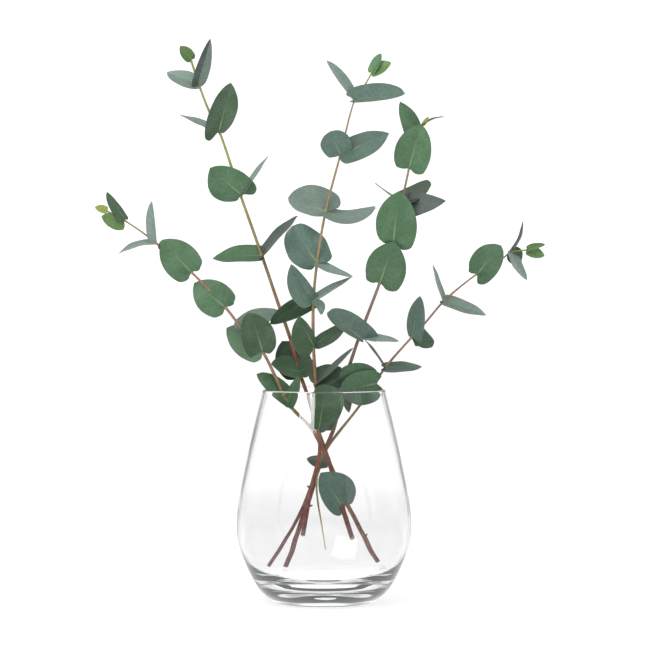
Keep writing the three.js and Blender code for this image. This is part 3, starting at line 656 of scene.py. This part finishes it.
def floor_material(look):
    """Evenly pale for the eye. For sharp rays, which come by the glass, it glows with painted light and
    shade by distance and side.
    """
    material, tree, shader = new_material("floor")
    spot = tree.nodes.new("ShaderNodeTexCoord").outputs["Object"]
    sharp = tree.nodes.new("ShaderNodeLightPath").outputs["Is Singular Ray"]
    shade = tuple(0.985 * share for share in look.floor)
    plain = mix(tree, noise(tree, spot, 3.0, 2.0), rgba(shade), rgba(look.floor))
    away = node(tree, "ShaderNodeVectorMath", Vector=spot)
    away.operation = "LENGTH"
    distance = away.outputs["Value"]
    # Painted light right under the foot and far off, painted shade round the foot, seen only by sharp rays.
    under = ramp(tree, distance, 0.038, 0.055, look.under_foot_light, look.near_floor_shade)
    beyond = ramp(tree, distance, 0.25, 1.8, 0.0, look.far_floor_light - look.near_floor_shade)
    parts = node(tree, "ShaderNodeSeparateXYZ", Vector=spot).outputs
    # Painted shade: the floor seen in the glass grows dimmer toward the sides.
    beside = less(tree, maths(tree, "ABSOLUTE", parts["X"]), times(tree, parts["Y"], 0.15))
    lit = times(tree, maths(tree, "ADD", under, beyond), ramp(tree, beside, 0.12, 0.7, 1.0, 0.4))
    glow = times(tree, less(tree, 1.0, sharp), look.glow)
    plug(
        tree,
        shader,
        Base_Color=mix(tree, sharp, plain, BLACK),
        Roughness=0.9,
        Specular_IOR_Level=0.0,
        Emission_Color=WHITE,
        Emission_Strength=maths(tree, "ADD", times(tree, lit, sharp), glow),
    )
    return material


def cubic(t, start, leaving, end, arriving):
    """The place at share t of the way from start to end, with the slopes given for both."""
    return (
        (2 * t**3 - 3 * t**2 + 1) * start
        + (t**3 - 2 * t**2 + t) * leaving
        + (3 * t**2 - 2 * t**3) * end
        + (t**3 - t**2) * arriving
    )


def smooth_through(points, steps):
    """Points at even steps on the centripetal curve through the given ones."""
    ends = [2 * points[0] - points[1], *points, 2 * points[-1] - points[-2]]
    dense = []
    for i in range(len(points) - 1):
        a, b, c, d = ends[i : i + 4]
        before, gap, after = (max((q - p).length, 1e-9) ** 0.5 for p, q in ((a, b), (b, c), (c, d)))
        leaving = ((b - a) / before - (c - a) / (before + gap) + (c - b) / gap) * gap
        arriving = ((c - b) / gap - (d - b) / (gap + after) + (d - c) / after) * gap
        dense += [cubic(k / CURVE_STEPS, b, leaving, c, arriving) for k in range(CURVE_STEPS)]
    dense.append(points[-1].copy())
    length = [0.0]
    for a, b in zip(dense, dense[1:]):
        length.append(length[-1] + (b - a).length)
    even = []
    j = 0
    for k in range(steps + 1):
        goal = length[-1] * k / steps
        while j < len(dense) - 2 and length[j + 1] < goal:
            j += 1
        share = (goal - length[j]) / max(length[j + 1] - length[j], 1e-12)
        even.append(dense[j].lerp(dense[j + 1], min(share, 1.0)))
    return even


def take(obj):
    """Selects one object alone and makes it active."""
    if bpy.context.object and bpy.context.object.mode != "OBJECT":
        bpy.ops.object.mode_set(mode="OBJECT")
    bpy.ops.object.select_all(action="DESELECT")
    obj.select_set(True)
    bpy.context.view_layer.objects.active = obj


def tidy_mesh(obj, distance, fill=False):
    """Merges doubles, closes open ends where asked, and turns every face outward."""
    take(obj)
    bpy.ops.object.mode_set(mode="EDIT")
    bpy.ops.mesh.select_all(action="SELECT")
    bpy.ops.mesh.remove_doubles(threshold=distance)
    if fill:
        bpy.ops.mesh.fill_holes(sides=0)
    bpy.ops.mesh.select_all(action="SELECT")
    bpy.ops.mesh.normals_make_consistent(inside=False)
    bpy.ops.object.mode_set(mode="OBJECT")
    bpy.ops.object.shade_smooth()


def unit_grid(name, columns, rows):
    bpy.ops.object.select_all(action="DESELECT")
    bpy.ops.mesh.primitive_grid_add(x_subdivisions=columns, y_subdivisions=rows, size=1, calc_uvs=True)
    made = bpy.context.object
    made.name = name
    return made


def outline_at(row, blunt):
    """The outline's point that a row ends at, on a smooth curve between the pointed and the round blade."""
    knots = [Vector(sharp).lerp(Vector(soft), blunt) for sharp, soft in zip(POINTED, ROUND)]
    i = max(k for k in range(len(knots) - 1) if OUTLINE_ROWS[k] <= row + 1e-9)
    t = (row - OUTLINE_ROWS[i]) / (OUTLINE_ROWS[i + 1] - OUTLINE_ROWS[i])
    beyond = knots[-1] + (knots[-1] - knots[-2]) * 0.5
    before = knots[i - 1] if i else 2 * knots[0] - knots[1]
    after = knots[i + 2] if i + 2 < len(knots) else beyond
    leaving = (knots[i + 1] - before) / 2
    arriving = (after - knots[i]) / 2
    point = cubic(t, knots[i], leaving, knots[i + 1], arriving)
    return point.x, max(point.y, 0.0)


def flat_place(across, along, blunt, lobe=1.0, skew=0.0):
    """Where a point of the flat blade lies, in shares of its width and of its length."""
    u, v = outline_at(along, blunt)
    u = u * lobe if u < 0 else u
    u += skew * math.copysign(v, across) * (1 - u)
    reach = abs(across)
    rib = along**MIDRIB_SWEEP
    return Vector((math.copysign(v * reach, across), rib + (u - rib) * reach, 0))


def leaf_blank():
    """One flat blade of unit length and width, two-sided, that every leaf is a bent copy of."""
    look = settings().leaves
    blank = unit_grid("leaf_blank", look.columns, look.rows)
    mesh = blank.data
    mesh.attributes.new("share", "FLOAT", "POINT")
    mesh.attributes.new("row", "FLOAT", "POINT")
    share = mesh.attributes["share"]
    row = mesh.attributes["row"]
    for vertex in mesh.vertices:
        across = math.copysign(abs(2 * vertex.co.x) ** CROWDING, vertex.co.x)
        along = min(max(vertex.co.y + 0.5, 0.0), 1.0)
        share.data[vertex.index].value = across
        row.data[vertex.index].value = along
        vertex.co = flat_place(across, along, BLUNT)
    for loop in mesh.uv_layers.active.data:
        across = 2 * loop.uv.x - 1
        loop.uv.x = 0.5 + 0.5 * math.copysign(abs(across) ** CROWDING, across)
    tidy_mesh(blank, 1e-5)
    solid = blank.modifiers.new("solid", "SOLIDIFY")
    solid.thickness = 0.01
    solid.offset = 0.0
    bpy.ops.object.modifier_apply(modifier=solid.name)
    under = mesh.attributes.new("under", "FLOAT", "POINT")
    for vertex in mesh.vertices:
        under.data[vertex.index].value = 0.0 if vertex.co.z > 0 else 1.0
    return blank


def grain_at(stem, at):
    """The way that a stem runs toward its foot, at one of its points."""
    return (place(stem[min(at + 1, len(stem) - 1)]) - place(stem[max(at - 1, 0)])).normalized()


def bent_leaf(blank, sprig, spec, chance):
    """A copy of the blank with its own mesh, bent to one leaf's place and form."""
    look = settings().leaves
    mesh = blank.data.copy()
    stem = sprig["stem"]
    at = spec["at"]
    base = place(stem[at])
    grain = grain_at(stem, at)
    forward = place(spec["tip"]) - base
    length = forward.length
    forward.normalize()
    up = Vector(spec["face"])
    up = (up - forward * up.dot(forward)).normalized()
    side = up.cross(forward) * -1
    radius = stem_radius(sprig["radii"], at / (len(stem) - 1))
    outward = (up - grain * up.dot(grain)) * radius * 1.1 * spec["seat"]
    width = spec["width"] * MM
    cup = spec["cup"] + chance.uniform(-0.02, 0.03)
    bow = spec["bow"] + chance.uniform(-0.015, 0.02)
    ruffle = chance.uniform(0, 6)
    twist = chance.uniform(-0.06, 0.06)
    share = [entry.value for entry in mesh.attributes["share"].data]
    row = [entry.value for entry in mesh.attributes["row"].data]
    for vertex in mesh.vertices:
        across = share[vertex.index]
        along = row[vertex.index]
        reach = abs(across)
        v, u, _ = flat_place(across, along, spec["blunt"], spec["lobe"], spec["skew"])
        v *= spec["right" if v > 0 else "left"] * (1 - spec["taper"] * max(u, 0))
        turn = math.atan2(v, u - BLADE_MIDDLE)
        raised = width * (cup * (2 * abs(v)) ** 1.5 / 2 + spec["fold"] * abs(v))
        arched = length * (bow * 4 * u * (1 - u))
        ruffled = spec["wave"] * width * reach**3 * math.sin(5 * turn + ruffle)
        twisted = twist * v * u * width
        groove = -GROOVE_DEPTH * MM * (1 - along) ** 0.5 * max(0.0, 1 - reach / 0.09)
        line = math.cos(2 * math.pi * VEIN_PAIRS * (along - VEIN_SLANT * reach))
        veined = -VEIN_DEPTH * MM * line * (1 - reach) * min(1, reach * 6)
        height = (look.thickness + (look.edge - look.thickness) * reach**2) / 2
        if vertex.co.z <= 0:
            height = -height - look.midrib * (1 - 0.8 * along) * max(0.0, 1 - reach / 0.07)
        out = raised + arched + ruffled + twisted + groove + veined + height
        v += spec["sweep"] * 4 * u * (1 - u)
        seat = outward * (1 - min(max(u, 0), 1)) ** 2
        vertex.co = base + forward * (u * length) + side * (v * width) + up * out + seat
    # Painted shade in part: "shade" lowers the tone of leaves that lie in shadow, besides leaves that are
    # lighter or darker of their own.
    tone = Vector(getattr(look, spec["tone"])) * spec["shade"] * chance.uniform(0.95, 1.05)
    # Painted shade: "lean" darkens one half of a folded leaf where a leaf gives it, otherwise a small
    # random tint; each leaf also gets a little lighter toward its tip.
    lean = spec.get("lean", chance.uniform(-0.12, 0.12))
    paint = mesh.attributes.new("tone", "FLOAT_COLOR", "POINT")
    for vertex in mesh.vertices:
        across = max(-1, min(1, share[vertex.index] * 5))
        fresh = 1 + 0.12 * (row[vertex.index] - 0.5) - lean * across
        paint.data[vertex.index].color = (*(tone * fresh), 1)
    made = bpy.data.objects.new("leaf", mesh)
    bpy.context.scene.collection.objects.link(made)
    return made


def stem_radius(radii, share):
    tip, foot = radii
    return (tip + (foot - tip) * share) * MM


def bark_at(names, share):
    """The bark's colour at a share of the way from tip to foot, between evenly spaced stops."""
    look = settings().stems
    colours = [Vector(getattr(look, name)) for name in names]
    step = min(share, 0.9999) * (len(colours) - 1)
    first = int(step)
    return colours[first].lerp(colours[first + 1], step - first)


def rolled_stem(name, spec, nodes, chance):
    """A grid rolled round the stem's route from tip to foot, thicker at its nodes, its ends closed."""
    look = settings().stems
    points = [place(spot) for spot in spec["stem"]]
    rough_length = sum((b - a).length for a, b in zip(points, points[1:]))
    rings = max(24, int(rough_length / (RING_LENGTH * MM)))
    centres = smooth_through(points, rings)
    obj = unit_grid(name, look.sides, rings)
    mesh = obj.data
    swollen = [place(spec["stem"][at]) for at in sorted(nodes)]
    normals = []
    normal = Vector((0, -1, 0))
    for k, centre in enumerate(centres):
        ahead = centres[min(k + 1, rings)] - centres[max(k - 1, 0)]
        ahead.normalize()
        normal = (normal - ahead * normal.dot(ahead)).normalized()
        normals.append((normal.copy(), ahead.cross(normal)))
    radii = []
    collars = []
    for k, centre in enumerate(centres):
        share = k / rings
        radius = stem_radius(spec["radii"], share)
        near = max(math.exp(-(((centre - spot).length / (NODE_REACH * MM)) ** 2)) for spot in swollen)
        radius *= 1 + look.swelling * near
        collars.append(near * (1 - 0.75 * share))
        wander = 1 + 0.03 * math.sin(share * 61 + chance.uniform(0, 0.4))
        radii.append(radius * wander)
    bark = mesh.attributes.new("bark", "FLOAT_COLOR", "POINT")
    for vertex in mesh.vertices:
        turn = 2 * math.pi * (vertex.co.x + 0.5)
        k = round((vertex.co.y + 0.5) * rings)
        first, second = normals[k]
        vertex.co = centres[k] + (first * math.cos(turn) + second * math.sin(turn)) * radii[k]
        shade = bark_at(spec["bark"], k / rings).lerp(Vector(look.collar), 0.7 * collars[k])
        bark.data[vertex.index].color = (*shade, 1)
    mesh.materials.append(shared(bpy.data.materials, "eucalyptus_bark", bark_material))
    mesh.materials.append(shared(bpy.data.materials, "cut_wood", cut_material))
    tidy_mesh(obj, 1e-6, fill=True)
    for face in mesh.polygons:
        if len(face.vertices) > 4:
            face.material_index = 1
            face.use_smooth = False
    return obj


def bud(spot, toward, size, tone, name):
    """A small pointed bud in the angle between a stem and a leaf."""
    bpy.ops.object.select_all(action="DESELECT")
    bpy.ops.mesh.primitive_uv_sphere_add(segments=10, ring_count=8, radius=1)
    made = bpy.context.object
    made.name = name
    turned = toward.to_track_quat("Z", "Y").to_matrix().to_4x4()
    for vertex in made.data.vertices:
        taper = 1 - 0.45 * (vertex.co.z + 1) / 2
        vertex.co = Vector((vertex.co.x * 0.5 * taper, vertex.co.y * 0.5 * taper, vertex.co.z)) * size
    made.data.transform(Matrix.Translation(spot) @ turned)
    paint = made.data.attributes.new("bark", "FLOAT_COLOR", "POINT")
    for vertex in made.data.vertices:
        paint.data[vertex.index].color = (*tone, 1)
    made.data.materials.append(shared(bpy.data.materials, "eucalyptus_bark", bark_material))
    bpy.ops.object.shade_smooth()
    return made


def joined(objects, name):
    take(objects[0])
    for obj in objects:
        obj.select_set(True)
    if len(objects) > 1:
        bpy.ops.object.join()
    made = bpy.context.view_layer.objects.active
    made.name = name
    made.data.name = name
    return made


def settle(obj, cad_node):
    """Ties a finished piece to the frame."""
    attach(obj, "root")
    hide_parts(cad_node)


class AddVase(bpy.types.Operator):
    """Adds the clear tapered vase, spun from its profile"""

    bl_idname = "eucalyptus.add_vase"
    bl_label = "Add Vase"

    def execute(self, context):
        look = settings().vase
        rim = look.rim / MM
        rim_radius, rim_height = OUTSIDE[-1]
        profile = [Vector((look.foot / MM * k / FOOT_STEPS, 0, 0)) for k in range(FOOT_STEPS + 1)]
        profile += smooth_through([Vector((r, 0, h)) for r, h in OUTSIDE], PROFILE_STEPS)
        for k in range(1, RIM_STEPS):
            turn = math.pi * k / RIM_STEPS
            across = rim_radius - rim + rim * math.cos(turn)
            profile.append(Vector((across, 0, rim_height + rim * math.sin(turn))))
        profile += smooth_through([Vector((r, 0, h)) for r, h in INSIDE], PROFILE_STEPS)
        bpy.ops.object.select_all(action="DESELECT")
        bpy.ops.curve.primitive_bezier_curve_add()
        obj = context.object
        obj.data.splines.clear()
        spline = obj.data.splines.new("POLY")
        spline.points.add(len(profile) - 1)
        for point, spot in zip(spline.points, profile):
            point.co = (*(spot * MM), 1)
        bpy.ops.object.convert(target="MESH")
        obj = context.object
        obj.name = "glass_vase"
        bpy.ops.object.mode_set(mode="EDIT")
        bpy.ops.mesh.select_all(action="SELECT")
        bpy.ops.mesh.spin(steps=look.steps, angle=2 * math.pi, center=(0, 0, 0), axis=(0, 0, 1))
        bpy.ops.object.mode_set(mode="OBJECT")
        tidy_mesh(obj, 1e-6)
        obj.data.materials.clear()
        obj.data.materials.append(glass_material())
        settle(obj, "vase")
        return {"FINISHED"}


class AddSprig(bpy.types.Operator):
    """Adds one sprig: its stem, and its leaves as bent copies of one blade"""

    bl_idname = "eucalyptus.add_sprig"
    bl_label = "Add Sprig"

    which: StringProperty(name="Which", description="Name of the sprig", default="sprig_centre")

    def execute(self, context):
        spec = SPRIGS[self.which]
        points = spec["stem"]
        last = len(points) - 1
        chance = random.Random(self.which)
        nodes = {one["at"] for one in spec["leaves"]}
        stems = [rolled_stem("stem", spec, nodes, chance)]
        if "twig" in spec:
            stems.append(rolled_stem("twig", spec["twig"], [2], chance))
        for at in sorted(nodes):
            up = -grain_at(points, at)
            aside = up.cross(Vector((0, 1, 0))).normalized()
            tone = bark_at(spec["bark"], at / last)
            thick = stem_radius(spec["radii"], at / last)
            for way in (-1, 1):
                spot = place(points[at]) + aside * way * thick * 0.9 + up * 1.2 * MM
                toward = (up + aside * way * 0.6).normalized()
                stems.append(bud(spot, toward, thick * 0.9, tone, "bud"))
        for at, share, way, size, tone in spec.get("stubs", ()):
            above = place(points[at])
            below = place(points[at + 1])
            up = (above - below).normalized()
            aside = up.cross(Vector((0, 1, 0))).normalized() * way
            spot = above.lerp(below, share) + aside * stem_radius(spec["radii"], (at + share) / last)
            toward = (aside + up * 0.5).normalized()
            stems.append(bud(spot, toward, size * MM, getattr(settings().stems, tone), "stub"))
        stem = joined(stems, self.which.replace("sprig", "stem"))
        settle(stem, self.which)
        blank = bpy.data.objects.get("leaf_blank") or leaf_blank()
        leaves = [bent_leaf(blank, spec, one, chance) for one in spec["leaves"]]
        for obj in leaves:
            obj.data.materials.clear()
            obj.data.materials.append(shared(bpy.data.materials, "eucalyptus_leaf", leaf_material))
        made = joined(leaves, self.which.replace("sprig", "leaves"))
        tidy_mesh(made, 0.0)
        bpy.ops.object.shade_smooth_by_angle(angle=math.radians(48))
        settle(made, self.which)
        return {"FINISHED"}


class ClearBlank(bpy.types.Operator):
    """Removes the flat blade that the leaves were bent from"""

    bl_idname = "eucalyptus.clear_blank"
    bl_label = "Clear Blank"

    def execute(self, context):
        blank = bpy.data.objects["leaf_blank"]
        bpy.data.meshes.remove(blank.data)
        return {"FINISHED"}


class AddStage(bpy.types.Operator):
    """Adds the camera, the pale floor and the soft light"""

    bl_idname = "eucalyptus.add_stage"
    bl_label = "Add Stage"

    def execute(self, context):
        look = settings().stage
        scene = context.scene
        scene.view_settings.view_transform = "Standard"
        bpy.ops.object.select_all(action="DESELECT")
        pitch = math.atan2(EYE_HEIGHT - AIM_HEIGHT, EYE_DISTANCE)
        bpy.ops.object.camera_add(
            location=(AXIS_OFFSET * MM, -EYE_DISTANCE * MM, EYE_HEIGHT * MM),
            rotation=(math.pi / 2 - pitch, 0, 0),
        )
        camera = context.object
        camera.data.sensor_width = SENSOR
        camera.data.lens = LENS
        camera.data.clip_start = 0.05
        camera.data.clip_end = 100
        scene.camera = camera
        bpy.ops.mesh.primitive_plane_add(size=FLOOR_WIDTH, location=(0, 0, -FLOOR_GAP * MM))
        floor = context.object
        floor.name = "floor"
        floor.data.materials.append(floor_material(look))
        self.light(context, "key", (-1.1, -1.5, 1.7), 1.4, look.key, (1.0, 0.99, 0.97))
        self.light(context, "fill", (1.6, -1.2, 0.9), 1.6, look.key * 0.25, (0.97, 0.99, 1.0))
        self.window(context, "bright_panel", (-0.86, -1.455, 0.95), (0.86, 0.36), look.panel)
        self.surroundings(scene, look)
        return {"FINISHED"}

    def light(self, context, name, spot, size, power, tint):
        bpy.ops.object.light_add(type="AREA", location=spot)
        lamp = context.object
        lamp.name = name
        lamp.data.size = size
        lamp.data.energy = power
        lamp.data.color = tint
        aim = Vector((0, 0, 0.22)) - Vector(spot)
        lamp.rotation_euler = aim.to_track_quat("-Z", "Y").to_euler()

    def window(self, context, name, spot, size, power):
        """A panel that only shows as its mirror image in the glass."""
        self.light(context, name, spot, size[0], power, (1, 1, 1))
        lamp = context.object
        lamp.data.shape = "RECTANGLE"
        lamp.data.size_y = size[1]
        lamp.visible_camera = False
        lamp.visible_diffuse = False
        lamp.visible_transmission = False
        lamp.visible_volume_scatter = False

    def surroundings(self, scene, look):
        """A bright room: white behind; for sharp rays dimmer at the sides and dark in front."""
        world = bpy.data.worlds.new("studio")
        world.use_nodes = True
        scene.world = world
        tree = world.node_tree
        coords = tree.nodes.new("ShaderNodeTexCoord")
        parts = node(tree, "ShaderNodeSeparateXYZ", Vector=coords.outputs["Generated"]).outputs
        rays = tree.nodes.new("ShaderNodeLightPath").outputs
        sharp = rays["Is Singular Ray"]
        turned = maths(tree, "ABSOLUTE", maths(tree, "ARCTAN2", parts["X"], parts["Y"]))
        sides = ramp(tree, turned, 0.2, 0.4, 1.15, 0.42)
        low = ramp(tree, parts["Z"], 0.6, 0.75, 1.0, 0.0)
        room = less(tree, sides, times(tree, ramp(tree, turned, 1.2, 1.6, 0.0, 0.40), low))
        soft = ramp(tree, parts["Z"], -0.6, 0.9, 0.7 * look.sky, 1.15 * look.sky)
        seen = maths(tree, "ADD", times(tree, room, sharp), times(tree, soft, less(tree, 1.0, sharp)))
        camera = rays["Is Camera Ray"]
        unseen = times(tree, seen, less(tree, 1.0, camera))
        strength = maths(tree, "MAXIMUM", times(tree, camera, 1.2), unseen)
        plug(tree, tree.nodes["Background"], Color=WHITE, Strength=strength)


class EucalyptusPanel(bpy.types.Panel):
    """Lists the pieces"""

    bl_idname = "VIEW3D_PT_eucalyptus"
    bl_label = "Eucalyptus in a Vase"
    bl_space_type = "VIEW_3D"
    bl_region_type = "UI"
    bl_category = "Eucalyptus"

    def draw(self, context):
        layout = self.layout
        layout.operator(AddStage.bl_idname)
        layout.operator(AddVase.bl_idname)
        for name in SPRIGS:
            layout.operator(AddSprig.bl_idname, text=name.replace("_", " ").title()).which = name
        layout.operator(ClearBlank.bl_idname)
        for part in ("vase", "leaves", "stems", "stage"):
            box = layout.box()
            box.label(text=part.title())
            group = getattr(settings(), part)
            for key in group.bl_rna.properties.keys():
                if key not in ("rna_type", "name"):
                    box.prop(group, key)


CLASSES = (
    VaseSettings,
    LeafSettings,
    StemSettings,
    StageSettings,
    Settings,
    AddVase,
    AddSprig,
    ClearBlank,
    AddStage,
    EucalyptusPanel,
)


def register():
    for cls in CLASSES:
        bpy.utils.register_class(cls)
    bpy.types.Scene.eucalyptus = PointerProperty(type=Settings)


def unregister():
    del bpy.types.Scene.eucalyptus
    for cls in reversed(CLASSES):
        bpy.utils.unregister_class(cls)


def main():
    register()
    bpy.ops.eucalyptus.add_stage()
    bpy.ops.eucalyptus.add_vase()
    for name in SPRIGS:
        bpy.ops.eucalyptus.add_sprig(which=name)
    bpy.ops.eucalyptus.clear_blank()


if __name__ == "__main__":
    main()
